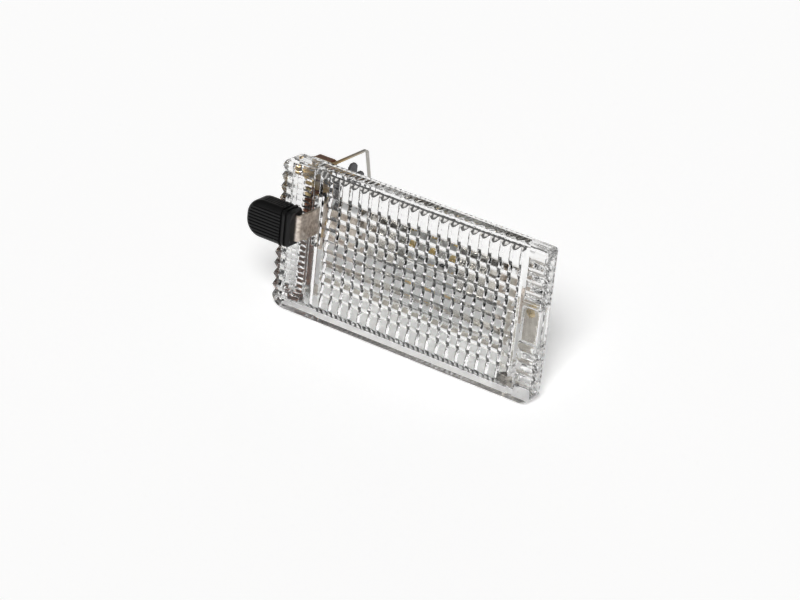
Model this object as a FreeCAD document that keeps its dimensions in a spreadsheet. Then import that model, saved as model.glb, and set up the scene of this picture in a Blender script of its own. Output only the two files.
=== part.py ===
"""A car map light: a clear prism lens, its rocker switch and the bulb contacts behind it.

Millimetres. X runs along the lens, Y from its front to its back, Z up its short side.
The origin is the middle of the lens rim's back face, which seats on the roof panel.
"""
import FreeCAD, Part
import os
import re
from collections import namedtuple

import Sketcher

SIZES = {
    # lens moulding
    "lens_length": 55.0,
    "lens_height": 28.65,
    "rim_depth": 3.06,
    "rim_wall": 1.2,
    "front_wall": 1.6,
    "tray_draft": 35.0,
    "tray_from_left": 5.6,
    "tray_from_right": 4.6,
    "end_recess": 0.6,
    "left_corner_radius": 2.6,
    "upper_right_radius": 0.6,
    "lower_right_radius": 2.0,
    "overcut": 0.5,
    # prism ribs behind the front wall and grooves across it
    "prism_pitch": 2.08,
    "prism_land": 0.12,
    "rib_rise": 0.7,
    "rib_count": 21,
    "rib_field_from_left": 6.24,
    "cross_depth": 0.55,
    "cross_count": 10,
    "cross_field_from_left": 9.9,
    "cross_field_from_right": 4.8,
    # short fine grooves behind the left border
    "fine_pitch": 1.04,
    "fine_land": 0.1,
    "fine_depth": 0.4,
    "fine_count": 22,
    "fine_band_from_left": 3.9,
    "fine_band_width": 1.7,
    # coarse grooves that wrap both ends
    "border_width": 3.5,
    "left_border_depth": 0.4,
    "right_border_depth": 0.8,
    "border_back_land": 0.6,
    "border_count": 12,
    "border_side_count": 4,
    "notch_width": 3.6,
    "notch_height": 6.6,
    "notch_depth": 1.0,
    # switch lever and its pivot
    "lever_from_left": 8.1,
    "lever_above_middle": 4.3,
    "lever_width": 4.8,
    "lever_thickness": 0.5,
    "lever_bend_radius": 0.35,
    "lever_swing": 12.0,
    "lever_blade": 6.4,
    "slot_clearance": 0.35,
    "pivot_radius": 0.6,
    "pivot_head_radius": 0.95,
    "pivot_head": 0.5,
    "running_clearance": 0.05,
    "washer_radius": 1.3,
    # knob
    "knob_standoff": 5.0,
    "knob_length": 9.5,
    "knob_height": 7.0,
    "knob_thickness": 4.3,
    "knob_end_radius": 3.1,
    "knob_edge_radius": 1.15,
    "knob_back_bevel": 0.7,
    "knob_collar_bevel": 0.5,
    "knob_gap": 0.05,
    "knob_collar": 1.92,
    "knob_bead_groove": 0.5,
    "knob_bead_groove_depth": 0.35,
    "knob_nib": 0.5,
    "knob_nib_below_middle": 0.5,
    "knob_rib_pitch": 0.6,
    "knob_rib_groove": 0.34,
    "knob_rib_depth": 0.22,
    "knob_face_grooves": 9,
    "knob_side_grooves": 3,
    # insulating carrier plate
    "carrier_from_left": 1.7,
    "carrier_width": 4.2,
    "carrier_edge_gap": 0.225,
    "carrier_standoff": 3.4,
    "carrier_thickness": 1.5,
    "carrier_corner_radius": 0.6,
    # folded switch bracket
    "bracket_thickness": 0.5,
    "bracket_inside": 2.0,
    "bracket_below_lever": 2.4,
    "bracket_above_lever": 4.3,
    "bracket_tail_gap": 0.3,
    "bracket_flange": 2.2,
    "lug_below_top": 2.7,
    "lug_width": 2.2,
    "lug_chamfer": 0.6,
    "lug_stagger": 1.4,
    "lug_step": 0.4,
    # contacts, bus bar and retaining spring
    "strip_thickness": 0.4,
    "contact_gap": 0.4,
    "contact_width": 1.5,
    "contact_past_lever": 0.8,
    "contact_margin": 0.3,
    "bulb_contact_width": 5.2,
    "bulb_contact_reach": 3.2,
    "bulb_contact_hole": 1.6,
    "bus_from_right": 4.6,
    "bus_column_width": 3.0,
    "spring_thickness": 0.3,
    "spring_width": 0.55,
    "spring_reach": 10.0,
    "spring_limb": 6.0,
    "spring_lean": 1.6,
    "spring_bend_radius": 0.7,
    "spring_foot": 3.2,
    # rivets, and the moulded ledges whose pegs are staked over
    "ledge_height": 2.0,
    "ledge_root": 0.3,
    "peg_radius": 0.5,
    "peg_head_radius": 0.75,
    "peg_head": 0.4,
    "seat_gap": 0.03,
    "rivet_radius": 0.55,
    "rivet_head_radius": 0.9,
    "rivet_head": 0.45,
    "rivet_clearance": 0.03,
    "contact_rivet_from_left": 2.7,
    "bracket_rivet_from_left": 4.8,
    "bracket_rivet_spacing": 2.8,
    # festoon bulb
    "bulb_length": 31.0,
    "bulb_tip_from_right": 9.0,
    "bulb_behind_seat": 7.6,
    "bulb_below_middle": 1.4,
    "cap_radius": 4.25,
    "cap_cone": 3.2,
    "cap_tip_radius": 0.7,
    "cap_overlap": 1.0,
    "tube_length": 14.0,
    "tube_wall": 0.9,
    "board_height": 7.0,
    "board_thickness": 0.8,
    "board_gap": 0.05,
    "led_size": 1.9,
    "led_rise": 0.7,
    "led_pitch": 4.0,
    "led_count": 3,
    "resistor_length": 1.6,
    "resistor_width": 0.8,
    "resistor_rise": 0.45,
    "resistor_drop": 2.4,
}

LEFT = "(-lens_length / 2)"
RIGHT = "(lens_length / 2)"
TOP = "(lens_height / 2)"
FRONT = "(-rim_depth)"
FLOOR = "(front_wall - rim_depth)"
TRAY_X = "(lens_length / 2 - rim_wall)"
TRAY_Z = "(lens_height / 2 - rim_wall)"
TRAY_LEFT = f"({LEFT} + tray_from_left)"
TRAY_RIGHT = f"({RIGHT} - tray_from_right)"
END_BACK = "(-end_recess)"

CARRIER_LEFT = f"({LEFT} + carrier_from_left)"
CARRIER_RIGHT = f"({CARRIER_LEFT} + carrier_width)"
CARRIER_FRONT = "carrier_standoff"
CARRIER_BACK = "(carrier_standoff + carrier_thickness)"
CARRIER_TOP = f"({TRAY_Z} - carrier_edge_gap)"
FLANGE_BACK = f"({CARRIER_BACK} + bracket_thickness)"
STRIP_BACK = f"({CARRIER_BACK} + strip_thickness)"
FOOT_FRONT = f"({CARRIER_FRONT} - spring_thickness)"
CONTACT_FRONT = f"({CARRIER_FRONT} - strip_thickness)"

LEVER_X = f"({LEFT} + lever_from_left)"
LEVER_Z = "lever_above_middle"
PIVOT_Y = f"({FLANGE_BACK} + pivot_head_radius + running_clearance)"
EAR_IN_LEFT = f"({LEVER_X} - bracket_inside / 2)"
EAR_IN_RIGHT = f"({LEVER_X} + bracket_inside / 2)"
EAR_OUT_LEFT = f"({EAR_IN_LEFT} - bracket_thickness)"
EAR_OUT_RIGHT = f"({EAR_IN_RIGHT} + bracket_thickness)"
WEB_FRONT = f"({PIVOT_Y} + lever_width / 2 + bracket_tail_gap)"
WEB_BACK = f"({WEB_FRONT} + bracket_thickness)"
BRACKET_LOW = f"({LEVER_Z} - bracket_below_lever)"
BRACKET_HIGH = f"({LEVER_Z} + bracket_above_lever)"
LUG_TOP = f"({TOP} - lug_below_top)"

KNOB_Y = f"({FRONT} - knob_standoff)"
KNOB_RIGHT = f"({LEVER_X} - lever_thickness / 2 - lever_bend_radius - knob_gap)"
KNOB_LEFT = f"({KNOB_RIGHT} - knob_length)"
COLLAR_LEFT = f"({KNOB_RIGHT} - knob_collar)"
BLADE_END = f"({KNOB_RIGHT} - lever_blade)"

LEDGE_LOW = f"({CARRIER_TOP} - ledge_height)"
PEG_Z = f"({CARRIER_TOP} - ledge_height / 2)"
PEG_LEFT = f"({CARRIER_LEFT} + carrier_width / 2)"
PEG_HOLE = "(peg_radius + rivet_clearance)"
CONTACT_RIVET_X = f"({LEFT} + contact_rivet_from_left)"
BRACKET_RIVET_X = f"({LEFT} + bracket_rivet_from_left)"
BRACKET_RIVET_LOW = f"({LEVER_Z} - bracket_rivet_spacing / 2)"
BRACKET_RIVET_HIGH = f"({LEVER_Z} + bracket_rivet_spacing / 2)"
RIVET_HOLE = "(rivet_radius + rivet_clearance)"

BULB_RIGHT_TIP = f"({RIGHT} - bulb_tip_from_right)"
BULB_X = f"({BULB_RIGHT_TIP} - bulb_length / 2)"
BULB_Y = "bulb_behind_seat"
BULB_Z = "(-bulb_below_middle)"
BULB_AT = (BULB_X, BULB_Y, BULB_Z)
CAP_MOUTH = "(tube_length / 2 - cap_overlap)"
TUBE_BORE = "(cap_radius + running_clearance)"
CONE_TO_LEAF = (
    "((bulb_contact_hole - running_clearance - cap_tip_radius)"
    " * cap_cone / (cap_radius - cap_tip_radius))"
)
LEAF_BACK = f"({BULB_Y} + bulb_contact_reach)"
BULB_CONTACT_LOW = f"({BULB_Z} - bulb_contact_width / 2)"
BULB_CONTACT_HIGH = f"({BULB_Z} + bulb_contact_width / 2)"
BUS_RIGHT = f"({RIGHT} - bus_from_right)"
BUS_COLUMN = f"({BUS_RIGHT} - bus_column_width)"
COLUMN_MIDDLE = f"({BUS_RIGHT} - bus_column_width / 2)"
FOOT_BACK = f"({STRIP_BACK} + strip_thickness)"

# How far the lever's edge swings at the depth of the fixed contacts and of the lens face.
CONTACT_SWING = (
    f"(lever_width / 2 + ({PIVOT_Y} - {CONTACT_FRONT}) * sin(lever_swing * 1 deg))"
)
FACE_SWING = f"(lever_width / 2 + ({PIVOT_Y} - {FRONT}) * sin(lever_swing * 1 deg))"
DOOR_CONTACT_LOW = f"({LEVER_Z} + {CONTACT_SWING} + contact_gap)"
LAMP_CONTACT_HIGH = f"({LEVER_Z} - {CONTACT_SWING} - contact_gap)"
DOOR_RIVET_Z = f"({DOOR_CONTACT_LOW} + contact_width / 2)"
LAMP_RIVET_Z = f"({LAMP_CONTACT_HIGH} - contact_width / 2)"

SPRING_LEFT = f"({CARRIER_RIGHT} + carrier_edge_gap / 2)"
SPRING_RIGHT = f"({SPRING_LEFT} + spring_width)"
SPRING_BACK = f"({CARRIER_FRONT} + spring_reach)"

PLANES = {"X": "YZ_Plane", "Y": "XZ_Plane", "Z": "XY_Plane"}
NEAR = 1e-4

Circle = namedtuple("Circle", "x y radius")

doc = FreeCAD.newDocument("map_light")
sheet = doc.addObject("Spreadsheet::Sheet", "dims")
nodes = []


def fill_sheet():
    for row, (name, value) in enumerate(SIZES.items(), start=1):
        sheet.set(f"A{row}", name)
        sheet.set(f"B{row}", str(value))
        sheet.setAlias(f"B{row}", name)
    doc.recompute()


def bound(expression):
    """The expression with each size's name pointing at its cell."""
    return re.sub(
        r"[a-z][a-z_]*",
        lambda word: f"dims.{word[0]}" if word[0] in SIZES else word[0],
        expression,
    )


def number(expression):
    return float(sheet.evalExpression(bound(expression)))


def new_body(name, at=("0", "0", "0"), turn=None):
    """A body whose own origin lies at a point, turned about Z by some degrees."""
    body = doc.addObject("PartDesign::Body", name)
    body.Label = name
    if turn:
        spin = FreeCAD.Rotation(FreeCAD.Vector(0, 0, 1), turn)
        body.Placement = FreeCAD.Placement(FreeCAD.Vector(), spin)
    for letter, place in zip("xyz", at):
        body.setExpression(f"Placement.Base.{letter}", bound(place))
    return body


def origin_part(body, role):
    return next(part for part in body.Origin.OriginFeatures if part.Role == role)


def fix_point(sketch, geometry, end, x, y):
    """Holds one point of a sketch at two expressions, measured from the origin."""
    for kind, place in (("DistanceX", x), ("DistanceY", y)):
        index = sketch.addConstraint(
            Sketcher.Constraint(kind, -1, 1, geometry, end, number(place))
        )
        sketch.setExpression(f"Constraints[{index}]", bound(place))


def draw_circle(sketch, circle):
    centre = FreeCAD.Vector(number(circle.x), number(circle.y), 0)
    normal = FreeCAD.Vector(0, 0, 1)
    ring = sketch.addGeometry(Part.Circle(centre, normal, number(circle.radius)))
    fix_point(sketch, ring, 3, circle.x, circle.y)
    index = sketch.addConstraint(Sketcher.Constraint("Radius", ring, number(circle.radius)))
    sketch.setExpression(f"Constraints[{index}]", bound(circle.radius))


def draw_polygon(sketch, points):
    corners = [FreeCAD.Vector(number(x), number(y), 0) for x, y in points]
    ends = corners[1:] + corners[:1]
    lines = [sketch.addGeometry(Part.LineSegment(a, b)) for a, b in zip(corners, ends)]
    for line, following in zip(lines, lines[1:] + lines[:1]):
        sketch.addConstraint(Sketcher.Constraint("Coincident", line, 2, following, 1))
    for line, (x, y) in zip(lines, points):
        fix_point(sketch, line, 1, x, y)


def new_sketch(body, name, axis, offset, loops):
    sketch = body.newObject("Sketcher::SketchObject", name)
    sketch.AttachmentSupport = (origin_part(body, PLANES[axis]), [""])
    sketch.MapMode = "FlatFace"
    sketch.setExpression("AttachmentOffset.Base.z", bound(offset))
    for loop in loops:
        if isinstance(loop, Circle):
            draw_circle(sketch, loop)
        else:
            draw_polygon(sketch, loop)
    return sketch


def sweep(body, kind, name, axis, low, high, loops):
    """Carries loops along an axis from low to high, as a pad or a pocket.

    A plane square to Y faces -Y, so there the sketch lies at the high end.
    """
    offset = f"-({high})" if axis == "Y" else low
    sketch = new_sketch(body, f"{name}_outline", axis, offset, loops)
    before = body.Shape.Volume if body.Tip and not body.Shape.isNull() else 0.0
    feature = body.newObject(kind, name)
    feature.Profile = sketch
    feature.setExpression("Length", bound(f"({high}) - ({low})"))
    if kind == "PartDesign::Pocket":
        feature.Reversed = True
    doc.recompute()
    grown = feature.Shape.Volume - before
    if (grown > 0) != (kind == "PartDesign::Pad"):
        raise RuntimeError(f"{name} changed {body.Label} by {grown} mm3")
    return feature


def pad(body, name, axis, low, high, *loops):
    return sweep(body, "PartDesign::Pad", name, axis, low, high, loops)


def cut(body, name, axis, low, high, *loops):
    return sweep(body, "PartDesign::Pocket", name, axis, low, high, loops)


def repeat(body, name, feature, axis, spacing, count):
    pattern = body.newObject("PartDesign::LinearPattern", name)
    pattern.Originals = [feature]
    pattern.Direction = (origin_part(body, f"{axis}_Axis"), [""])
    pattern.Mode = "Spacing"
    pattern.setExpression("Offset", bound(spacing))
    pattern.setExpression("Occurrences", bound(count))
    body.Tip = pattern
    doc.recompute()
    return pattern


def ease_edges(body, kind, name, size_name, size, wanted):
    base = body.Tip
    edges = [f"Edge{i}" for i, edge in enumerate(base.Shape.Edges, 1) if wanted(edge)]
    feature = body.newObject(kind, name)
    feature.Base = (base, edges)
    feature.setExpression(size_name, bound(size))
    doc.recompute()
    return feature


def round_edges(body, name, radius, wanted):
    return ease_edges(body, "PartDesign::Fillet", name, "Radius", radius, wanted)


def bevel_edges(body, name, size, wanted):
    return ease_edges(body, "PartDesign::Chamfer", name, "Size", size, wanted)


def runs_along(edge, axis):
    """True for a straight edge parallel to X, Y or Z."""
    box = edge.BoundBox
    spans = {"X": box.XLength, "Y": box.YLength, "Z": box.ZLength}
    across = max(span for letter, span in spans.items() if letter != axis)
    return spans[axis] > NEAR and across < NEAR


def lies_at(edge, **places):
    """True where the edge's middle lies at the given x, y or z."""
    middle = edge.CenterOfMass
    return all(
        abs(getattr(middle, letter) - number(place)) < NEAR
        for letter, place in places.items()
    )


def rectangle(x_low, x_high, y_low, y_high):
    return [(x_low, y_low), (x_high, y_low), (x_high, y_high), (x_low, y_high)]


def octagon(across, up, corner):
    """A rectangle of (middle, half size) each way with its corners cut off."""
    (x, half_x), (y, half_y) = across, up
    left, right = f"{x} - {half_x}", f"{x} + {half_x}"
    low, high = f"{y} - {half_y}", f"{y} + {half_y}"
    return [
        (f"{left} + {corner}", low),
        (f"{right} - {corner}", low),
        (right, f"{low} + {corner}"),
        (right, f"{high} - {corner}"),
        (f"{right} - {corner}", high),
        (f"{left} + {corner}", high),
        (left, f"{high} - {corner}"),
        (left, f"{low} + {corner}"),
    ]


def keep(node):
    nodes.append(node)
    return node


def turned(name, at, profile, turn=None):
    """A solid of revolution about its own X axis, from (x, radius) corners."""
    body = new_body(name, at, turn)
    sketch = new_sketch(body, f"{name}_profile", "Z", "0", [profile])
    feature = body.newObject("PartDesign::Revolution", f"{name}_turn")
    feature.Profile = sketch
    feature.ReferenceAxis = (origin_part(body, "X_Axis"), [""])
    feature.Angle = 360
    doc.recompute()
    return body


def lens_groove(z, depth):
    """A V groove's section in the lens face, in (Y, Z), open to the front."""
    half = "(prism_pitch - prism_land) / 2"
    outside = f"{FRONT} - overcut"
    return [
        (outside, f"{z} - {half}"),
        (FRONT, f"{z} - {half}"),
        (f"{FRONT} + {depth}", z),
        (FRONT, f"{z} + {half}"),
        (outside, f"{z} + {half}"),
    ]


def end_groove(end, outward, z, depth):
    """A V groove's section in an end face of the lens, in (X, Z)."""
    half = "(prism_pitch - prism_land) / 2"
    outside = f"{end} {outward} overcut"
    inward = "-" if outward == "+" else "+"
    return [
        (outside, f"{z} - {half}"),
        (end, f"{z} - {half}"),
        (f"{end} {inward} {depth}", z),
        (end, f"{z} + {half}"),
        (outside, f"{z} + {half}"),
    ]


def cut_border(lens, name, end, outward, first, count):
    """Coarse grooves over the front of one end of the lens and down its end face."""
    if outward == "-":
        low, high = f"{end} - overcut", f"{end} + border_width"
        depth = "left_border_depth"
    else:
        low, high = f"{end} - border_width", f"{end} + overcut"
        depth = "right_border_depth"
    face = cut(lens, f"{name}_face", "X", low, high, lens_groove(first, depth))
    repeat(lens, f"{name}_faces", face, "Z", "prism_pitch", count)
    wrap = cut(
        lens,
        f"{name}_wrap",
        "Y",
        f"{FRONT} - overcut",
        "-border_back_land",
        end_groove(end, outward, first, depth),
    )
    repeat(lens, f"{name}_wraps", wrap, "Z", "prism_pitch", count)


def make_lens():
    lens = new_body("lens")
    pad(lens, "plate", "Y", FRONT, "0", rectangle(LEFT, RIGHT, f"-{TOP}", TOP))
    corners = (
        ("left_corners", "left_corner_radius", {"x": LEFT}),
        ("upper_right_corner", "upper_right_radius", {"x": RIGHT, "z": TOP}),
        ("lower_right_corner", "lower_right_radius", {"x": RIGHT, "z": f"-{TOP}"}),
    )
    for name, radius, place in corners:
        round_edges(
            lens,
            name,
            radius,
            lambda edge, place=place: runs_along(edge, "Y") and lies_at(edge, **place),
        )
    hollow_lens(lens)
    cut_prisms(lens)
    cut_ends(lens)

    slot_x = "(lever_thickness / 2 + slot_clearance)"
    slot_z = f"({FACE_SWING} + slot_clearance)"
    slot = rectangle(
        f"{LEVER_X} - {slot_x}",
        f"{LEVER_X} + {slot_x}",
        f"{LEVER_Z} - {slot_z}",
        f"{LEVER_Z} + {slot_z}",
    )
    cut(lens, "slot", "Y", f"{FRONT} - overcut", f"{FLOOR} + rib_rise + overcut", slot)
    add_ledges(lens)
    return lens


def hollow_lens(lens):
    """A drafted tray behind the prisms and a shallow recess behind each solid end."""
    tray = rectangle(TRAY_LEFT, TRAY_RIGHT, f"-{TRAY_Z}", TRAY_Z)
    hollow = cut(lens, "tray", "Y", FLOOR, "0", tray)
    hollow.setExpression("TaperAngle", bound("-tray_draft"))
    doc.recompute()
    recesses = (
        ("left_recess", f"-{TRAY_X}", f"{TRAY_LEFT} + overcut"),
        ("right_recess", f"{TRAY_RIGHT} - overcut", TRAY_X),
    )
    for name, low, high in recesses:
        cut(lens, name, "Y", END_BACK, "0", rectangle(low, high, f"-{TRAY_Z}", TRAY_Z))


def cut_prisms(lens):
    """Upright ribs in the tray, cross grooves on the front and a fine band at the left."""
    half = "((prism_pitch - prism_land) / 2)"
    rib_x = f"({LEFT} + rib_field_from_left + prism_pitch / 2)"
    rib_section = [
        (f"{rib_x} - {half}", FLOOR),
        (f"{rib_x} + {half}", FLOOR),
        (rib_x, f"{FLOOR} + rib_rise"),
    ]
    rib = pad(lens, "rib", "Z", f"-{TRAY_Z}", TRAY_Z, rib_section)
    repeat(lens, "ribs", rib, "X", "prism_pitch", "rib_count")

    lowest = "((1 - cross_count) / 2 * prism_pitch)"
    groove = cut(
        lens,
        "cross_groove",
        "X",
        f"{LEFT} + cross_field_from_left",
        f"{RIGHT} - cross_field_from_right",
        lens_groove(lowest, "cross_depth"),
    )
    repeat(lens, "cross_grooves", groove, "Z", "prism_pitch", "cross_count")

    fine_z = "((1 - fine_count) / 2 * fine_pitch)"
    fine_half = "(fine_pitch - fine_land) / 2"
    fine_section = [
        (END_BACK, f"{fine_z} - {fine_half}"),
        (END_BACK, f"{fine_z} + {fine_half}"),
        (f"{END_BACK} - fine_depth", fine_z),
    ]
    fine_left = f"{LEFT} + fine_band_from_left"
    fine = cut(lens, "fine", "X", fine_left, f"{fine_left} + fine_band_width", fine_section)
    repeat(lens, "fine_band", fine, "Z", "fine_pitch", "fine_count")


def cut_ends(lens):
    """Coarse grooves round both ends, with a smooth notch in the middle of the right one."""
    lowest = "((1 - border_count) / 2 * prism_pitch)"
    upper_low = "(((border_count + 1) / 2 - border_side_count) * prism_pitch)"
    cut_border(lens, "left_border", LEFT, "-", lowest, "border_count")
    cut_border(lens, "low_border", RIGHT, "+", lowest, "border_side_count")
    cut_border(lens, "high_border", RIGHT, "+", upper_low, "border_side_count")
    notch = rectangle(
        f"{RIGHT} - notch_width", f"{RIGHT} + overcut", "-notch_height / 2", "notch_height / 2"
    )
    cut(lens, "notch", "Y", f"{FRONT} - overcut", f"{FRONT} + notch_depth", notch)


def add_ledges(lens):
    """Ledges along the long walls, whose pegs are staked over what they carry."""
    left = (CARRIER_LEFT, CARRIER_RIGHT)
    right = (BUS_COLUMN, BUS_RIGHT)
    above = (LEDGE_LOW, CARRIER_TOP)
    below = (f"-{CARRIER_TOP}", f"-{LEDGE_LOW}")
    ledges = (
        ("upper_left", left, above, END_BACK, FOOT_FRONT),
        ("lower_left", left, below, END_BACK, CARRIER_FRONT),
        ("lower_right", right, below, FLOOR, CARRIER_BACK),
    )
    for name, across, up, root, seat in ledges:
        block = rectangle(*across, *up)
        pad(lens, f"{name}_ledge", "Y", f"{root} - ledge_root", f"{seat} - seat_gap", block)
    pegs = (
        ("upper_left", PEG_LEFT, PEG_Z, FOOT_FRONT, CARRIER_BACK),
        ("lower_left", PEG_LEFT, f"-{PEG_Z}", CARRIER_FRONT, STRIP_BACK),
        ("lower_right", COLUMN_MIDDLE, f"-{PEG_Z}", CARRIER_BACK, STRIP_BACK),
    )
    for name, x, z, seat, back in pegs:
        shank = Circle(x, z, "peg_radius")
        pad(lens, f"{name}_peg", "Y", f"{seat} - ledge_root", f"{back} + seat_gap", shank)
        head = Circle(x, z, "peg_head_radius")
        pad(lens, f"{name}_head", "Y", f"{back} + seat_gap", f"{back} + peg_head", head)


def make_carrier():
    carrier = new_body("carrier_plate")
    outline = rectangle(CARRIER_LEFT, CARRIER_RIGHT, f"-{CARRIER_TOP}", CARRIER_TOP)
    holes = [Circle(PEG_LEFT, z, PEG_HOLE) for z in (PEG_Z, f"-{PEG_Z}")]
    holes += [
        Circle(x, z, RIVET_HOLE)
        for x, z in (
            (CONTACT_RIVET_X, DOOR_RIVET_Z),
            (CONTACT_RIVET_X, LAMP_RIVET_Z),
            (BRACKET_RIVET_X, BRACKET_RIVET_LOW),
            (BRACKET_RIVET_X, BRACKET_RIVET_HIGH),
        )
    ]
    pad(carrier, "sheet", "Y", CARRIER_FRONT, CARRIER_BACK, outline, *holes)
    round_edges(
        carrier,
        "corners",
        "carrier_corner_radius",
        lambda edge: runs_along(edge, "Y"),
    )
    return carrier


def lug_trim(back, top):
    """What is cut away round a chamfered lug at the top of an ear, in (Y, Z)."""
    front = f"({back} - lug_width)"
    above = f"({LUG_TOP} + overcut)"
    near = f"({CARRIER_BACK} - overcut)"
    far = f"({WEB_BACK} + overcut)"
    return [
        (near, BRACKET_HIGH),
        (front, BRACKET_HIGH),
        (front, f"{top} - lug_chamfer"),
        (f"{front} + lug_chamfer", top),
        (f"{back} - lug_chamfer", top),
        (back, f"{top} - lug_chamfer"),
        (back, BRACKET_HIGH),
        (far, BRACKET_HIGH),
        (far, above),
        (near, above),
    ]


def make_bracket():
    """A folded channel whose two ears carry the pivot and end in wire lugs."""
    bracket = new_body("switch_bracket")
    flange_left = f"({BRACKET_RIVET_X} - bracket_flange / 2)"
    fold = [
        (flange_left, CARRIER_BACK),
        (EAR_IN_LEFT, CARRIER_BACK),
        (EAR_IN_LEFT, WEB_FRONT),
        (EAR_IN_RIGHT, WEB_FRONT),
        (EAR_IN_RIGHT, CARRIER_BACK),
        (EAR_OUT_RIGHT, CARRIER_BACK),
        (EAR_OUT_RIGHT, WEB_BACK),
        (EAR_OUT_LEFT, WEB_BACK),
        (EAR_OUT_LEFT, FLANGE_BACK),
        (flange_left, FLANGE_BACK),
    ]
    pad(bracket, "fold", "Z", BRACKET_LOW, LUG_TOP, fold)
    reach_left = f"{flange_left} - overcut"
    reach_right = f"{EAR_OUT_RIGHT} + overcut"
    left_trim = lug_trim(WEB_BACK, LUG_TOP)
    cut(bracket, "left_lug", "X", reach_left, EAR_IN_LEFT, left_trim)
    right_trim = lug_trim(f"({WEB_BACK} - lug_stagger)", f"({LUG_TOP} - lug_step)")
    cut(bracket, "right_lug", "X", EAR_IN_LEFT, reach_right, right_trim)
    pivot = Circle(PIVOT_Y, LEVER_Z, "pivot_radius + rivet_clearance")
    cut(bracket, "pivot_holes", "X", f"{EAR_OUT_LEFT} - overcut", reach_right, pivot)
    for name, z in (("low_hole", BRACKET_RIVET_LOW), ("high_hole", BRACKET_RIVET_HIGH)):
        hole = Circle(BRACKET_RIVET_X, z, RIVET_HOLE)
        cut(bracket, name, "Y", f"{CARRIER_BACK} - overcut", f"{FLANGE_BACK} + overcut", hole)
    return bracket


def make_pivot_pin():
    """The lever's rivet, with a low cone head outside each ear."""
    ear = "(bracket_inside / 2 + bracket_thickness)"
    end = f"({ear} + pivot_head)"
    profile = [
        (f"-{end}", "0"),
        (end, "0"),
        (ear, "pivot_head_radius"),
        (ear, "pivot_radius"),
        (f"-{ear}", "pivot_radius"),
        (f"-{ear}", "pivot_head_radius"),
    ]
    return turned("pivot_pin", (LEVER_X, PIVOT_Y, LEVER_Z), profile)


def make_pivot_washers():
    """A spacer on the pin at each side of the lever."""
    bore = "(pivot_radius + running_clearance)"
    inner = "(lever_thickness / 2 + running_clearance)"
    outer = "(bracket_inside / 2 - running_clearance)"
    washers = []
    for side, low, high in (("left", f"-{outer}", f"-{inner}"), ("right", inner, outer)):
        profile = rectangle(low, high, bore, "washer_radius")
        washers.append(turned(f"{side}_washer", (LEVER_X, PIVOT_Y, LEVER_Z), profile))
    return grouped("pivot_washers", washers)


def grouped(name, members):
    group = doc.addObject("Part::Compound", name)
    group.Label = name
    group.Links = members
    doc.recompute()
    return group


def make_lever():
    """A flat strip on the pivot, through the lens slot, then turned into the knob."""
    lever = new_body("switch_lever")
    left = f"({LEVER_X} - lever_thickness / 2)"
    right = f"({LEVER_X} + lever_thickness / 2)"
    near = f"({KNOB_Y} + lever_thickness / 2)"
    far = f"({KNOB_Y} - lever_thickness / 2)"
    tail = f"({PIVOT_Y} + lever_width / 2)"
    path = [
        (right, tail),
        (left, tail),
        (left, near),
        (BLADE_END, near),
        (BLADE_END, far),
        (right, far),
    ]
    low = f"{LEVER_Z} - lever_width / 2"
    high = f"{LEVER_Z} + lever_width / 2"
    pad(lever, "strip", "Z", low, high, path)
    round_edges(
        lever,
        "tail_round",
        "lever_width / 2 - running_clearance",
        lambda edge: runs_along(edge, "X") and lies_at(edge, y=tail),
    )
    round_edges(
        lever,
        "inner_bend",
        "lever_bend_radius",
        lambda edge: runs_along(edge, "Z") and lies_at(edge, x=left, y=near),
    )
    round_edges(
        lever,
        "outer_bend",
        "lever_bend_radius + lever_thickness",
        lambda edge: runs_along(edge, "Z") and lies_at(edge, x=right, y=far),
    )
    bore = Circle(PIVOT_Y, LEVER_Z, "pivot_radius + running_clearance")
    cut(lever, "bore", "X", f"{left} - overcut", f"{right} + overcut", bore)
    return lever


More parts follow.
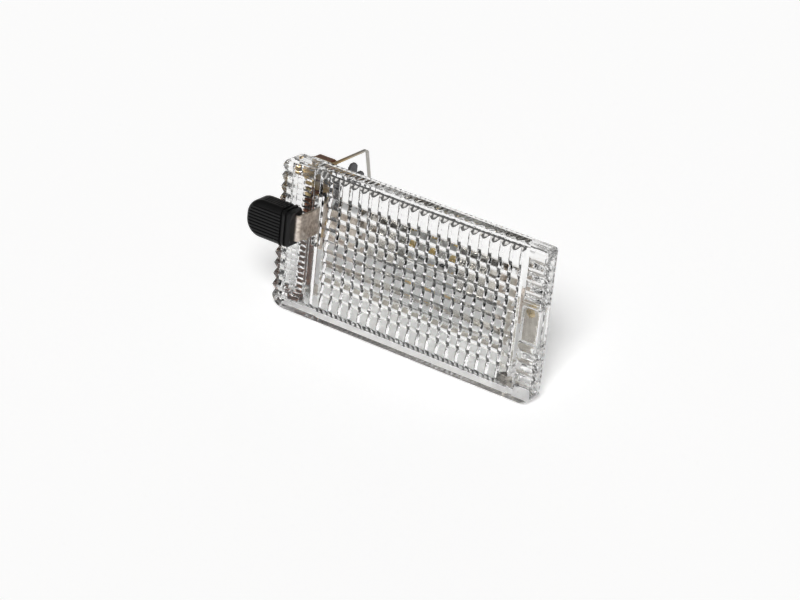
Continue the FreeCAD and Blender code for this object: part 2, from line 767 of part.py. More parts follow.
def make_knob():
    """A ribbed paddle with a round end, a two-bead collar and a socket for the strip."""
    knob = new_body("lever_knob")
    half_height = "knob_height / 2"
    half_thickness = "knob_thickness / 2"
    front = f"({KNOB_Y} - {half_thickness})"
    back = f"({KNOB_Y} + {half_thickness})"
    low = f"({LEVER_Z} - {half_height})"
    high = f"({LEVER_Z} + {half_height})"
    pad(knob, "paddle", "Y", front, back, rectangle(KNOB_LEFT, KNOB_RIGHT, low, high))
    round_edges(
        knob,
        "end_round",
        "knob_end_radius",
        lambda edge: runs_along(edge, "Y") and lies_at(edge, x=KNOB_LEFT),
    )
    round_edges(
        knob,
        "edge_round",
        "knob_edge_radius",
        lambda edge: lies_at(edge, y=front) and not lies_at(edge, x=KNOB_RIGHT),
    )
    bevel_edges(
        knob,
        "back_bevel",
        "knob_back_bevel",
        lambda edge: lies_at(edge, y=back) and not lies_at(edge, x=KNOB_RIGHT),
    )
    bevel_edges(
        knob,
        "collar_bevel",
        "knob_collar_bevel",
        lambda edge: lies_at(edge, x=KNOB_RIGHT),
    )

    half_groove = "knob_rib_groove / 2"
    face_z = f"({LEVER_Z} + (1 - knob_face_grooves) / 2 * knob_rib_pitch)"
    side_y = f"({KNOB_Y} + (1 - knob_side_grooves) / 2 * knob_rib_pitch)"
    ribs_left = f"{KNOB_LEFT} - overcut"
    for name, face, inward in (("front", front, "+"), ("back", back, "-")):
        section = [
            (face, f"{face_z} - {half_groove}"),
            (f"{face} {inward} knob_rib_depth", face_z),
            (face, f"{face_z} + {half_groove}"),
        ]
        groove = cut(knob, f"{name}_groove", "X", ribs_left, COLLAR_LEFT, section)
        repeat(knob, f"{name}_ribs", groove, "Z", "knob_rib_pitch", "knob_face_grooves")
    for name, side, inward in (("top", high, "-"), ("bottom", low, "+")):
        section = [
            (f"{side_y} - {half_groove}", side),
            (side_y, f"{side} {inward} knob_rib_depth"),
            (f"{side_y} + {half_groove}", side),
        ]
        groove = cut(knob, f"{name}_groove", "X", ribs_left, COLLAR_LEFT, section)
        repeat(knob, f"{name}_ribs", groove, "Y", "knob_rib_pitch", "knob_side_grooves")

    outside = rectangle(
        f"{front} - overcut", f"{back} + overcut", f"{low} - overcut", f"{high} + overcut"
    )
    waist = octagon(
        (KNOB_Y, f"({half_thickness} - knob_bead_groove_depth)"),
        (LEVER_Z, f"({half_height} - knob_bead_groove_depth)"),
        "((knob_edge_radius - knob_bead_groove_depth) * (2 - sqrt(2)))",
    )
    for name, x in (("first", COLLAR_LEFT), ("second", f"({COLLAR_LEFT} + knob_collar / 2)")):
        cut(knob, f"{name}_bead", "X", x, f"{x} + knob_bead_groove", outside, waist)

    half_nib = "knob_nib / 2"
    nib_z = f"({LEVER_Z} - knob_nib_below_middle)"
    nib = rectangle(
        f"{KNOB_Y} - {half_nib}",
        f"{KNOB_Y} + {half_nib}",
        f"{nib_z} - {half_nib}",
        f"{nib_z} + {half_nib}",
    )
    pad(knob, "nib", "X", f"{KNOB_LEFT} - knob_nib", f"{KNOB_LEFT} + knob_nib", nib)

    socket_y = "(lever_thickness / 2 + knob_gap)"
    socket_z = "(lever_width / 2 + knob_gap)"
    socket = rectangle(
        f"{KNOB_Y} - {socket_y}",
        f"{KNOB_Y} + {socket_y}",
        f"{LEVER_Z} - {socket_z}",
        f"{LEVER_Z} + {socket_z}",
    )
    cut(knob, "socket", "X", f"{BLADE_END} - knob_gap", f"{KNOB_RIGHT} + overcut", socket)
    return knob


def make_fixed_contact(name, low, high, rivet_z):
    """A flat strip on the carrier's front that the lever's edge meets at its limit."""
    contact = new_body(name)
    left = f"{CARRIER_LEFT} + contact_margin"
    right = f"{LEVER_X} + contact_past_lever"
    hole = Circle(CONTACT_RIVET_X, rivet_z, RIVET_HOLE)
    outline = rectangle(left, right, low, high)
    pad(contact, "strip", "Y", CONTACT_FRONT, CARRIER_FRONT, outline, hole)
    return contact


def bulb_leaf_hole(contact, low, high):
    hole = Circle(BULB_Y, BULB_Z, "bulb_contact_hole")
    cut(contact, "tip_hole", "X", f"{low} - overcut", f"{high} + overcut", hole)


def make_left_bulb_contact():
    """A strip from the carrier's back that turns up into a leaf round the bulb's tip."""
    contact = new_body("left_bulb_contact")
    start = f"({CARRIER_LEFT} + contact_margin)"
    inner = f"({BULB_RIGHT_TIP} - bulb_length + {CONE_TO_LEAF})"
    outer = f"({inner} - strip_thickness)"
    path = [
        (start, CARRIER_BACK),
        (inner, CARRIER_BACK),
        (inner, LEAF_BACK),
        (outer, LEAF_BACK),
        (outer, STRIP_BACK),
        (start, STRIP_BACK),
    ]
    pad(contact, "strip", "Z", BULB_CONTACT_LOW, BULB_CONTACT_HIGH, path)
    bulb_leaf_hole(contact, outer, inner)
    hole = Circle(CONTACT_RIVET_X, LAMP_RIVET_Z, RIVET_HOLE)
    cut(contact, "rivet_hole", "Y", f"{CARRIER_BACK} - overcut", f"{STRIP_BACK} + overcut", hole)
    return contact


def make_right_bulb_contact():
    """A leaf round the bulb's other tip, with its foot on the bus bar."""
    contact = new_body("right_bulb_contact")
    inner = f"({BULB_RIGHT_TIP} - {CONE_TO_LEAF})"
    outer = f"({inner} + strip_thickness)"
    foot_end = f"({BUS_RIGHT} - contact_margin)"
    path = [
        (inner, STRIP_BACK),
        (foot_end, STRIP_BACK),
        (foot_end, FOOT_BACK),
        (outer, FOOT_BACK),
        (outer, LEAF_BACK),
        (inner, LEAF_BACK),
    ]
    pad(contact, "strip", "Z", BULB_CONTACT_LOW, BULB_CONTACT_HIGH, path)
    bulb_leaf_hole(contact, inner, outer)
    hole = Circle(COLUMN_MIDDLE, BULB_Z, RIVET_HOLE)
    cut(contact, "rivet_hole", "Y", f"{STRIP_BACK} - overcut", f"{FOOT_BACK} + overcut", hole)
    return contact


def make_bus_bar():
    """A flat L of strip from the carrier's foot to the right-hand contact."""
    bus = new_body("bus_bar")
    start = f"({CARRIER_LEFT} + contact_margin)"
    outline = [
        (start, f"-{CARRIER_TOP}"),
        (BUS_RIGHT, f"-{CARRIER_TOP}"),
        (BUS_RIGHT, BULB_CONTACT_HIGH),
        (BUS_COLUMN, BULB_CONTACT_HIGH),
        (BUS_COLUMN, f"-{LEDGE_LOW}"),
        (start, f"-{LEDGE_LOW}"),
    ]
    holes = [Circle(x, f"-{PEG_Z}", PEG_HOLE) for x in (PEG_LEFT, COLUMN_MIDDLE)]
    holes.append(Circle(COLUMN_MIDDLE, BULB_Z, RIVET_HOLE))
    pad(bus, "strip", "Y", CARRIER_BACK, STRIP_BACK, outline, *holes)
    return bus


def make_retaining_spring():
    """A strip that runs back from its foot and turns down into a leaning free limb."""
    spring = new_body("retaining_spring")
    run_low = f"({CARRIER_TOP} - spring_thickness)"
    limb_front = f"({SPRING_BACK} - spring_thickness)"
    foot_low = f"({CARRIER_TOP} - spring_foot)"
    limb_low = f"({CARRIER_TOP} - spring_limb)"
    hook = [
        (FOOT_FRONT, foot_low),
        (CARRIER_FRONT, foot_low),
        (CARRIER_FRONT, run_low),
        (limb_front, run_low),
        (f"{limb_front} + spring_lean", limb_low),
        (f"{SPRING_BACK} + spring_lean", limb_low),
        (SPRING_BACK, CARRIER_TOP),
        (FOOT_FRONT, CARRIER_TOP),
    ]
    pad(spring, "hook", "X", SPRING_LEFT, SPRING_RIGHT, hook)
    round_edges(
        spring,
        "inner_bend",
        "spring_bend_radius",
        lambda edge: runs_along(edge, "X") and lies_at(edge, y=limb_front, z=run_low),
    )
    round_edges(
        spring,
        "outer_bend",
        "spring_bend_radius + spring_thickness",
        lambda edge: runs_along(edge, "X") and lies_at(edge, y=SPRING_BACK, z=CARRIER_TOP),
    )
    foot_left = f"{CARRIER_LEFT} + contact_margin"
    outline = rectangle(foot_left, SPRING_RIGHT, foot_low, CARRIER_TOP)
    hole = Circle(PEG_LEFT, PEG_Z, PEG_HOLE)
    pad(spring, "foot", "Y", FOOT_FRONT, CARRIER_FRONT, outline, hole)
    return spring


def rivet(name, x, z, front, back):
    """A rivet along Y, with a low cone head over each of two faces."""
    profile = [
        (f"{front} - rivet_head", "0"),
        (f"{back} + rivet_head", "0"),
        (back, "rivet_head_radius"),
        (back, "rivet_radius"),
        (front, "rivet_radius"),
        (front, "rivet_head_radius"),
    ]
    return turned(name, (x, "0", z), profile, turn=90)


def make_rivets():
    sets = {
        "bracket_rivets": [
            ("low_rivet", BRACKET_RIVET_X, BRACKET_RIVET_LOW, CARRIER_FRONT, FLANGE_BACK),
            ("high_rivet", BRACKET_RIVET_X, BRACKET_RIVET_HIGH, CARRIER_FRONT, FLANGE_BACK),
        ],
        "contact_rivets": [
            ("door_rivet", CONTACT_RIVET_X, DOOR_RIVET_Z, CONTACT_FRONT, CARRIER_BACK),
            ("lamp_rivet", CONTACT_RIVET_X, LAMP_RIVET_Z, CONTACT_FRONT, STRIP_BACK),
            ("bus_rivet", COLUMN_MIDDLE, BULB_Z, CARRIER_BACK, FOOT_BACK),
        ],
    }
    return [grouped(name, [rivet(*row) for row in rows]) for name, rows in sets.items()]


def make_bulb_cap(name, side):
    """A cap with a cone end, pushed into the tube; side is -1 on the left, 1 on the right."""
    tip = f"({side} * bulb_length / 2)"
    shoulder = f"({side} * (bulb_length / 2 - cap_cone))"
    mouth = f"({side} * {CAP_MOUTH})"
    profile = [
        (tip, "0"),
        (tip, "cap_tip_radius"),
        (shoulder, "cap_radius"),
        (mouth, "cap_radius"),
        (mouth, "0"),
    ]
    return turned(name, BULB_AT, profile)


def make_bulb_tube():
    """The clear tube round the board, open at the ends for the caps."""
    end = "(tube_length / 2)"
    profile = rectangle(f"-{end}", end, TUBE_BORE, f"({TUBE_BORE} + tube_wall)")
    return turned("bulb_tube", BULB_AT, profile)


def make_bulb_board():
    board = new_body("bulb_board", BULB_AT)
    half = f"({CAP_MOUTH} - board_gap)"
    outline = rectangle(f"-{half}", half, "-board_height / 2", "board_height / 2")
    pad(board, "sheet", "Y", "-board_thickness / 2", "board_thickness / 2", outline)
    return board


def make_chips(name, places, length, width, rise):
    """Small blocks soldered to the front of the board, at (x, z) from its middle."""
    chips = []
    face = "(-board_thickness / 2)"
    for index, (x, z) in enumerate(places, start=1):
        chip = new_body(f"{name}_{index}", BULB_AT)
        outline = rectangle(
            f"{x} - {length} / 2", f"{x} + {length} / 2", f"{z} - {width} / 2", f"{z} + {width} / 2"
        )
        pad(chip, "block", "Y", f"{face} - {rise}", face, outline)
        chips.append(chip)
    return grouped(name, chips)


def make_bulb():
    keep(make_bulb_cap("bulb_left_cap", "-1"))
    keep(make_bulb_cap("bulb_right_cap", "1"))
    keep(make_bulb_tube())
    keep(make_bulb_board())
    steps = [f"({index} - (led_count - 1) / 2)" for index in range(SIZES["led_count"])]
    leds = [(f"{step} * led_pitch", "0") for step in steps]
    keep(make_chips("bulb_leds", leds, "led_size", "led_size", "led_rise"))
    resistors = [(f"{sign} * led_pitch / 2", "-resistor_drop") for sign in ("-1", "1")]
    keep(
        make_chips(
            "bulb_resistors", resistors, "resistor_length", "resistor_width", "resistor_rise"
        )
    )


def make_all():
    keep(make_lens())
    keep(make_carrier())
    keep(make_bracket())
    keep(make_pivot_pin())
    keep(make_pivot_washers())
    keep(make_lever())
    keep(make_knob())
    door_high = f"{DOOR_CONTACT_LOW} + contact_width"
    keep(make_fixed_contact("door_contact", DOOR_CONTACT_LOW, door_high, DOOR_RIVET_Z))
    lamp_low = f"{LAMP_CONTACT_HIGH} - contact_width"
    keep(make_fixed_contact("lamp_contact", lamp_low, LAMP_CONTACT_HIGH, LAMP_RIVET_Z))
    keep(make_left_bulb_contact())
    keep(make_right_bulb_contact())
    keep(make_bus_bar())
    keep(make_retaining_spring())
    for rivets in make_rivets():
        keep(rivets)
    make_bulb()


def check_and_write():
    doc.recompute()
    for item in doc.Objects:
        if "Invalid" in item.State or "Error" in item.State:
            raise RuntimeError(f"{item.Label} failed: {item.State}")
    for node in nodes:
        if node.Shape.isNull() or not node.Shape.isValid():
            raise RuntimeError(f"{node.Label} has no valid shape")
    os.makedirs("parts", exist_ok=True)
    for node in nodes:
        node.Shape.exportStep(f"parts/{node.Label}.step")


fill_sheet()
make_all()
check_and_write()
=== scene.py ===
"""The looks of the car map light: clear prism lens, black knob, strip metal, white studio."""
from math import pi

import bpy
from mathutils import Matrix, Vector


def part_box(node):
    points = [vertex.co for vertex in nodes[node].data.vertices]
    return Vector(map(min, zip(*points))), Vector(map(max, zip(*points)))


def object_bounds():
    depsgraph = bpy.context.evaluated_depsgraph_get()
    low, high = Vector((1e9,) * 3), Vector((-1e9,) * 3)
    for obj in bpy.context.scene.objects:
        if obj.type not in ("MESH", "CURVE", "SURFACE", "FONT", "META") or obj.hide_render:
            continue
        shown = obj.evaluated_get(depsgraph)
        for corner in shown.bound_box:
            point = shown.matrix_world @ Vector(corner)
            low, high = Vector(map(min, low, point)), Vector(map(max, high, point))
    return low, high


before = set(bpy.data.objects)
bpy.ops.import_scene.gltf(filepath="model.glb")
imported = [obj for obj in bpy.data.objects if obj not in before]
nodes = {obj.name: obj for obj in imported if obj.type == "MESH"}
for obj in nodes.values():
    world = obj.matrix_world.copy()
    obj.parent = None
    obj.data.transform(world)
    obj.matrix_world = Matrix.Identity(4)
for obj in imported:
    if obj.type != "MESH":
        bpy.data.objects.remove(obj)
cad_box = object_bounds()

# Lengths are in metres, as in the frame.
MM = 0.001

# The camera stands to the front right of the lens and looks down on it.
CAMERA_PLACE = Vector((0.24423, -0.38246, 0.20470))
CAMERA_RIGHT = Vector((0.81090, 0.57688, 0.09826))
CAMERA_FORWARD = Vector((-0.49177, 0.76278, -0.41991))
NEAREST_SEEN = 10.0 * MM

# The camera's own two measures are in millimetres.
FOCAL_LENGTH = 130.38
SENSOR_WIDTH = 36.0

# The floor glows a little, so that it is nearly white and still takes a shadow.
FLOOR_GAP = 0.4 * MM
FLOOR_HALF = 3.0
FLOOR_COLOUR = (0.95, 0.95, 0.95, 1.0)
FLOOR_LIFT = 0.3

# The room's brightness from straight behind the lamp (0) to straight at the camera (1).
ROOM_TONES = ((0.0, 1.0), (0.1, 0.8), (0.2, 0.1), (0.6, 0.06), (0.9, 0.03))
ROOM_TINT = (1.0, 0.98, 0.95)

# A broad light from above the camera, a little to its left.
KEY_FROM = Vector((0.35, -0.75, 0.62))
KEY_WIDTH = 0.35
KEY_STRENGTH = 3.4

# The lens's prisms: upright ribs behind, cross grooves in front and grooves in both end borders.
PRISM_PITCH = 2.08 * MM
RIB_COUNT = 21
RIBS_START = -21.26 * MM
RIB_FIELD = (RIBS_START, RIBS_START + RIB_COUNT * PRISM_PITCH)
CROSS_FIELD = (-17.6 * MM, 22.7 * MM)
FRONT_SKIN = -2.4 * MM
BORDER_FROM_MIDDLE = 24.0 * MM
NOTCH_HALF_HEIGHT = 3.3 * MM

# No slope is quite flat: its middle rises by the crown, and by more in the borders.
CROWN = 0.06 * MM
BORDER_CROWN = 2.2
RIPPLE_TO_CROWN = 0.5

# The grain of each surface, in features per metre.
MOULD_RIPPLE = 1300.0
KNOB_GRAIN = 9000.0
ROLLING_LINES = 4000.0
TARNISH = 900.0
LEVER_TARNISH = 1500.0
SPRING_TARNISH = 700.0

# The shares of a noise's range over which a colour goes from dark to light.
KNOB_SPAN = (0.3, 0.75)
TARNISH_SPAN = (0.35, 0.68)
SPECK_SPAN = (0.3, 0.72)

# Relief, as a depth and the share of it that shows.
GRAIN_DEPTH = 0.02 * MM
KNOB_RELIEF = 0.25
SPECK_RELIEF = 0.2
LINE_DEPTH = 0.01 * MM
LINE_RELIEF = 0.2

# Rolling lines are drawn out along the strip, and are smoother and rougher than its mean.
ALONG_X = (0.04, 1.0, 1.0)
ALONG_Y = (1.0, 0.04, 1.0)
LINES_SMOOTHER = 0.1
LINES_ROUGHER = 0.12

# The retaining spring fades from its near end (0) to its far end (1), with a cloudy edge.
SPRING_FADE = (0.45, 1.0)
SPRING_CLOUD = 0.5
SPRING_GOLD = (0.42, 0.29, 0.13)
SPRING_GREY = (0.42, 0.41, 0.38)
SPRING_ROUGHNESS = 0.3


def add_node(tree, kind, **settings):
    """A new node of one kind, with its settings."""
    node = tree.nodes.new(kind)
    for name, value in settings.items():
        setattr(node, name, value)
    return node


def new_material(name):
    """A material with nothing in its node tree but one surface shader and the output."""
    material = bpy.data.materials.new(name)
    material.use_nodes = True
    tree = material.node_tree
    tree.nodes.clear()
    output = add_node(tree, "ShaderNodeOutputMaterial")
    shader = add_node(tree, "ShaderNodeBsdfPrincipled")
    tree.links.new(shader.outputs["BSDF"], output.inputs["Surface"])
    return material, tree, shader


def calculate(tree, operation, first, second=0.0):
    """One sum on two inputs, each a socket or a number."""
    node = add_node(tree, "ShaderNodeMath", operation=operation)
    for socket, value in zip(node.inputs, (first, second)):
        if isinstance(value, bpy.types.NodeSocket):
            tree.links.new(value, socket)
        else:
            socket.default_value = value
    return node.outputs["Value"]


def object_axes(tree):
    """The X, Y and Z of a place on the piece."""
    coordinates = add_node(tree, "ShaderNodeTexCoord")
    axes = add_node(tree, "ShaderNodeSeparateXYZ")
    tree.links.new(coordinates.outputs["Object"], axes.inputs["Vector"])
    return axes.outputs


def noise(tree, scale, detail, stretch=None):
    """Noise in object space, in features per metre, drawn out along an axis if asked."""
    place = add_node(tree, "ShaderNodeTexCoord")
    field = add_node(tree, "ShaderNodeTexNoise")
    field.inputs["Scale"].default_value = scale
    field.inputs["Detail"].default_value = detail
    source = place.outputs["Object"]
    if stretch:
        mapping = add_node(tree, "ShaderNodeMapping")
        mapping.inputs["Scale"].default_value = stretch
        tree.links.new(source, mapping.inputs["Vector"])
        source = mapping.outputs["Vector"]
    tree.links.new(source, field.inputs["Vector"])
    return field.outputs["Fac"]


def add_colour(tree, shader, factor, span, dark, light):
    """Base colour that runs from dark to light as the factor crosses the span."""
    ramp = add_node(tree, "ShaderNodeValToRGB")
    for stop, position, colour in zip(ramp.color_ramp.elements, span, (dark, light)):
        stop.position = position
        stop.color = (*colour, 1.0)
    tree.links.new(factor, ramp.inputs["Fac"])
    tree.links.new(ramp.outputs["Color"], shader.inputs["Base Color"])


def add_roughness(tree, shader, factor, low, high):
    """Roughness that runs from low to high with the factor."""
    span = add_node(tree, "ShaderNodeMapRange")
    span.inputs["To Min"].default_value = low
    span.inputs["To Max"].default_value = high
    tree.links.new(factor, span.inputs["Value"])
    tree.links.new(span.outputs["Result"], shader.inputs["Roughness"])


def add_bump(tree, shader, height, strength, depth):
    """Relief on the surface, as deep as the depth where the height is 1."""
    bump = add_node(tree, "ShaderNodeBump")
    bump.inputs["Strength"].default_value = strength
    bump.inputs["Distance"].default_value = depth
    tree.links.new(height, bump.inputs["Height"])
    tree.links.new(bump.outputs["Normal"], shader.inputs["Normal"])


def add_rolling_lines(tree, shader, roughness, grain_along):
    """Fine lines along the rolling direction, in the relief and the roughness."""
    lines = noise(tree, ROLLING_LINES, detail=3.0, stretch=grain_along)
    add_roughness(tree, shader, lines, roughness - LINES_SMOOTHER, roughness + LINES_ROUGHER)
    add_bump(tree, shader, lines, LINE_RELIEF, LINE_DEPTH)


def within(tree, place, span):
    """1 between the span's two ends and 0 outside them."""
    low, high = span
    return calculate(
        tree,
        "MULTIPLY",
        calculate(tree, "GREATER_THAN", place, low),
        calculate(tree, "LESS_THAN", place, high),
    )


def crown(tree, place, start):
    """The rise of each prism slope's crown, from 0 at its edges to 1 along its middle."""
    from_start = calculate(tree, "SUBTRACT", place, start)
    turns = calculate(tree, "MULTIPLY", from_start, 2 * pi / PRISM_PITCH)
    return calculate(tree, "ABSOLUTE", calculate(tree, "SINE", turns))


def make_clear(shader, tint, ior, roughness):
    """Turn a shader into clear plastic."""
    shader.inputs["Base Color"].default_value = (*tint, 1.0)
    shader.inputs["Transmission Weight"].default_value = 1.0
    shader.inputs["IOR"].default_value = ior
    shader.inputs["Roughness"].default_value = roughness


def prism_plastic(name, tint, ior, roughness):
    """Clear plastic with slopes crowned outwards in front and dished behind."""
    material, tree, shader = new_material(name)
    make_clear(shader, tint, ior, roughness)
    x, y, z = object_axes(tree)
    in_front = calculate(tree, "LESS_THAN", y, FRONT_SKIN)
    behind = calculate(tree, "SUBTRACT", 1.0, in_front)
    at_border = calculate(
        tree,
        "MULTIPLY",
        calculate(tree, "GREATER_THAN", calculate(tree, "ABSOLUTE", x), BORDER_FROM_MIDDLE),
        BORDER_CROWN,
    )
    off_notch = calculate(
        tree,
        "MAXIMUM",
        calculate(tree, "LESS_THAN", x, 0.0),
        calculate(tree, "GREATER_THAN", calculate(tree, "ABSOLUTE", z), NOTCH_HALF_HEIGHT),
    )
    grooved = calculate(
        tree,
        "MAXIMUM",
        calculate(tree, "MULTIPLY", in_front, within(tree, x, CROSS_FIELD)),
        calculate(tree, "MULTIPLY", at_border, off_notch),
    )
    ribbed = calculate(tree, "MULTIPLY", behind, within(tree, x, RIB_FIELD))
    grooves = calculate(tree, "MULTIPLY", crown(tree, z, 0.0), grooved)
    ribs = calculate(tree, "MULTIPLY", crown(tree, x, RIBS_START), ribbed)
    ripple = calculate(tree, "MULTIPLY", noise(tree, MOULD_RIPPLE, detail=2.0), RIPPLE_TO_CROWN)
    rise = calculate(tree, "ADD", calculate(tree, "SUBTRACT", grooves, ribs), ripple)
    add_bump(tree, shader, rise, 1.0, CROWN)
    return material


def smooth_plastic(name, tint, ior):
    """Clear plastic with no relief."""
    material, _, shader = new_material(name)
    make_clear(shader, tint, ior, roughness=0.0)
    return material


def satin_black(name, dark, light):
    """Black plastic with a fine moulded grain."""
    material, tree, shader = new_material(name)
    shader.inputs["Specular IOR Level"].default_value = 0.3
    grain = noise(tree, KNOB_GRAIN, detail=4.0)
    add_colour(tree, shader, grain, KNOB_SPAN, dark, light)
    add_roughness(tree, shader, grain, low=0.34, high=0.52)
    add_bump(tree, shader, grain, KNOB_RELIEF, GRAIN_DEPTH)
    return material


def strip_metal(name, dark, light, roughness, grain_along, tarnish=TARNISH):
    """Rolled strip: fine lines along the rolling direction and a cloudy tarnish."""
    material, tree, shader = new_material(name)
    shader.inputs["Metallic"].default_value = 1.0
    cloud = noise(tree, tarnish, detail=5.0)
    add_colour(tree, shader, cloud, TARNISH_SPAN, dark, light)
    add_rolling_lines(tree, shader, roughness, grain_along)
    return material


def fading_strip(name, node):
    """Bronze strip, gold near the lens and grey towards its far end."""
    material, tree, shader = new_material(name)
    low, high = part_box(node)
    shader.inputs["Metallic"].default_value = 1.0
    from_lens = calculate(tree, "SUBTRACT", object_axes(tree)["Y"], low.y)
    along = calculate(tree, "DIVIDE", from_lens, high.y - low.y)
    cloud = calculate(tree, "MULTIPLY", noise(tree, SPRING_TARNISH, detail=4.0), SPRING_CLOUD)
    fade = calculate(tree, "ADD", along, cloud)
    add_colour(tree, shader, fade, SPRING_FADE, SPRING_GOLD, SPRING_GREY)
    add_rolling_lines(tree, shader, SPRING_ROUGHNESS, ALONG_Y)
    return material


def speckled(name, dark, light, roughness, specks, metallic=0.0):
    """A dull surface, finely speckled from dark to light."""
    material, tree, shader = new_material(name)
    shader.inputs["Metallic"].default_value = metallic
    shader.inputs["Roughness"].default_value = roughness
    speck = noise(tree, specks, detail=5.0)
    add_colour(tree, shader, speck, SPECK_SPAN, dark, light)
    add_bump(tree, shader, speck, SPECK_RELIEF, GRAIN_DEPTH)
    return material


def dress(material, *names):
    """Give the named pieces one material."""
    for name in names:
        piece = nodes[name]
        piece.data.materials.clear()
        piece.data.materials.append(material)


def dress_plastics():
    """The lens, the knob and the carrier."""
    dress(
        prism_plastic("clear_acrylic", tint=(0.98, 0.98, 0.975), ior=1.49, roughness=0.012),
        "lens",
    )
    dress(
        satin_black("black_plastic", dark=(0.001, 0.001, 0.0011), light=(0.005, 0.005, 0.0052)),
        "lever_knob",
    )
    dress(
        speckled(
            "brown_laminate",
            dark=(0.055, 0.018, 0.007),
            light=(0.14, 0.05, 0.02),
            roughness=0.42,
            specks=2500.0,
        ),
        "carrier_plate",
    )


def dress_metals():
    """The switch, the contacts, the bus bar, the spring and the rivets."""
    dress(
        strip_metal(
            "tin_plate",
            dark=(0.42, 0.34, 0.28),
            light=(0.86, 0.78, 0.70),
            roughness=0.36,
            grain_along=ALONG_Y,
            tarnish=LEVER_TARNISH,
        ),
        "switch_lever",
        "left_bulb_contact",
        "right_bulb_contact",
    )
    dress(
        strip_metal(
            "bus_plate",
            dark=(0.5, 0.46, 0.4),
            light=(0.7, 0.66, 0.6),
            roughness=0.34,
            grain_along=ALONG_X,
        ),
        "bus_bar",
    )
    dress(fading_strip("spring_strip", "retaining_spring"), "retaining_spring")
    dress(
        strip_metal(
            "spring_bronze",
            dark=(0.30, 0.20, 0.10),
            light=(0.58, 0.43, 0.24),
            roughness=0.3,
            grain_along=ALONG_Y,
        ),
        "pivot_washers",
        "door_contact",
        "lamp_contact",
    )
    dress(
        speckled(
            "blackened_steel",
            dark=(0.07, 0.07, 0.072),
            light=(0.14, 0.14, 0.145),
            roughness=0.45,
            specks=3000.0,
            metallic=0.7,
        ),
        "switch_bracket",
    )
    dress(
        strip_metal(
            "rivet_brass",
            dark=(0.42, 0.31, 0.15),
            light=(0.62, 0.49, 0.27),
            roughness=0.3,
            grain_along=ALONG_X,
        ),
        "pivot_pin",
        "bracket_rivets",
        "contact_rivets",
    )


def dress_bulb():
    """The bulb's caps, tube and board, and what is on the board."""
    dress(
        strip_metal(
            "dull_nickel",
            dark=(0.55, 0.52, 0.47),
            light=(0.78, 0.75, 0.7),
            roughness=0.25,
            grain_along=ALONG_X,
        ),
        "bulb_left_cap",
        "bulb_right_cap",
    )
    dress(smooth_plastic("clear_tube", tint=(0.98, 0.98, 0.98), ior=1.5), "bulb_tube")
    dress(
        speckled(
            "board_white",
            dark=(0.7, 0.7, 0.68),
            light=(0.82, 0.82, 0.8),
            roughness=0.5,
            specks=4000.0,
        ),
        "bulb_board",
    )
    dress(
        speckled(
            "led_gel",
            dark=(0.75, 0.5, 0.13),
            light=(0.85, 0.62, 0.2),
            roughness=0.35,
            specks=5000.0,
        ),
        "bulb_leds",
    )
    dress(
        speckled(
            "chip_black",
            dark=(0.015, 0.015, 0.016),
            light=(0.04, 0.04, 0.04),
            roughness=0.5,
            specks=6000.0,
        ),
        "bulb_resistors",
    )


def floor_material(name):
    """Dull white, with a glow that shows straight, in gloss and through the lens."""
    material, tree, shader = new_material(name)
    shader.inputs["Base Color"].default_value = FLOOR_COLOUR
    shader.inputs["Roughness"].default_value = 1.0
    shader.inputs["Specular IOR Level"].default_value = 0.0
    shader.inputs["Emission Color"].default_value = FLOOR_COLOUR
    path = add_node(tree, "ShaderNodeLightPath").outputs
    not_straight = calculate(tree, "MAXIMUM", path["Is Glossy Ray"], path["Is Transmission Ray"])
    seen = calculate(tree, "MAXIMUM", path["Is Camera Ray"], not_straight)
    glow = calculate(tree, "MULTIPLY", seen, FLOOR_LIFT)
    tree.links.new(glow, shader.inputs["Emission Strength"])
    return material


def make_floor():
    """A plain white floor just under the lamp."""
    low = cad_box[0].z - FLOOR_GAP
    corners = [
        (-FLOOR_HALF, -FLOOR_HALF, low),
        (FLOOR_HALF, -FLOOR_HALF, low),
        (FLOOR_HALF, FLOOR_HALF, low),
        (-FLOOR_HALF, FLOOR_HALF, low),
    ]
    mesh = bpy.data.meshes.new("floor")
    mesh.from_pydata(corners, [], [(0, 1, 2, 3)])
    mesh.materials.append(floor_material("floor_white"))
    floor = bpy.data.objects.new("floor", mesh)
    bpy.context.scene.collection.objects.link(floor)


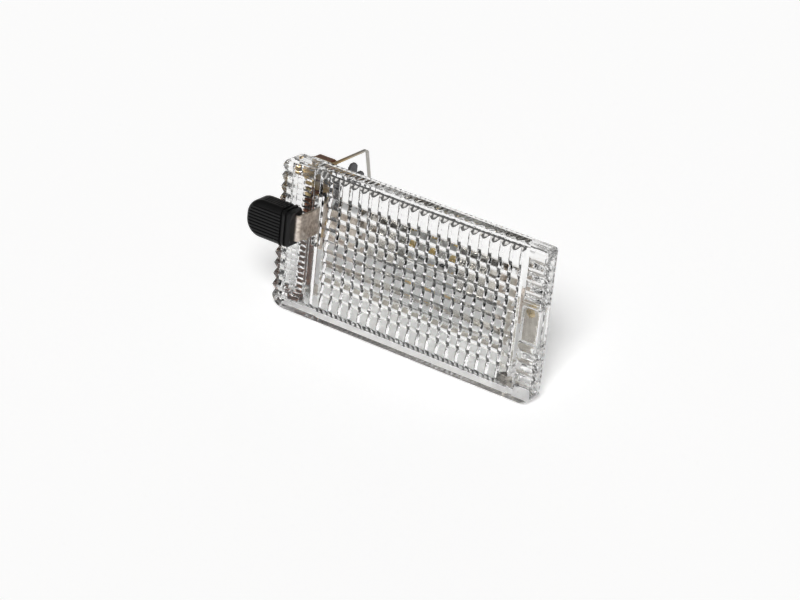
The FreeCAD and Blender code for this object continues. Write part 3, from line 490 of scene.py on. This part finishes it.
def make_world():
    """A white sweep behind the lamp, in a room that darkens towards the camera's side."""
    world = bpy.data.worlds.new("studio")
    bpy.context.scene.world = world
    world.use_nodes = True
    tree = world.node_tree
    tree.nodes.clear()
    output = add_node(tree, "ShaderNodeOutputWorld")
    place = add_node(tree, "ShaderNodeTexCoord")
    facing = add_node(tree, "ShaderNodeVectorMath", operation="DOT_PRODUCT")
    facing.inputs[1].default_value = -CAMERA_FORWARD
    tree.links.new(place.outputs["Generated"], facing.inputs[0])
    span = add_node(tree, "ShaderNodeMapRange")
    span.inputs["From Min"].default_value = -1.0
    tree.links.new(facing.outputs["Value"], span.inputs["Value"])
    ramp = add_node(tree, "ShaderNodeValToRGB")
    stops = ramp.color_ramp.elements
    while len(stops) < len(ROOM_TONES):
        stops.new(1.0)
    for stop, (position, tone) in zip(stops, ROOM_TONES):
        stop.position = position
        stop.color = (*(tone * share for share in ROOM_TINT), 1.0)
    tree.links.new(span.outputs["Result"], ramp.inputs["Fac"])
    surround = add_node(tree, "ShaderNodeBackground")
    tree.links.new(ramp.outputs["Color"], surround.inputs["Color"])
    tree.links.new(surround.outputs["Background"], output.inputs["Surface"])


def add_sun(name, source, width, strength):
    """A broad, distant light that shines from the source's direction."""
    lamp = bpy.data.lights.new(name, "SUN")
    lamp.angle = width
    lamp.energy = strength
    holder = bpy.data.objects.new(name, lamp)
    holder.rotation_euler = (-source).to_track_quat("-Z", "Y").to_euler()
    bpy.context.scene.collection.objects.link(holder)


def make_camera():
    """A camera at the photograph's place and angle."""
    data = bpy.data.cameras.new("camera")
    data.lens = FOCAL_LENGTH
    data.sensor_width = SENSOR_WIDTH
    data.clip_start = NEAREST_SEEN
    camera = bpy.data.objects.new("camera", data)
    back = -CAMERA_FORWARD.normalized()
    right = CAMERA_RIGHT.normalized()
    turn = Matrix((right, back.cross(right), back)).transposed()
    camera.matrix_world = Matrix.Translation(CAMERA_PLACE) @ turn.to_4x4()
    bpy.context.scene.collection.objects.link(camera)
    bpy.context.scene.camera = camera


make_camera()
make_world()
make_floor()
add_sun("key", KEY_FROM, KEY_WIDTH, KEY_STRENGTH)
dress_plastics()
dress_metals()
dress_bulb()
bpy.context.scene.view_settings.view_transform = "Standard"
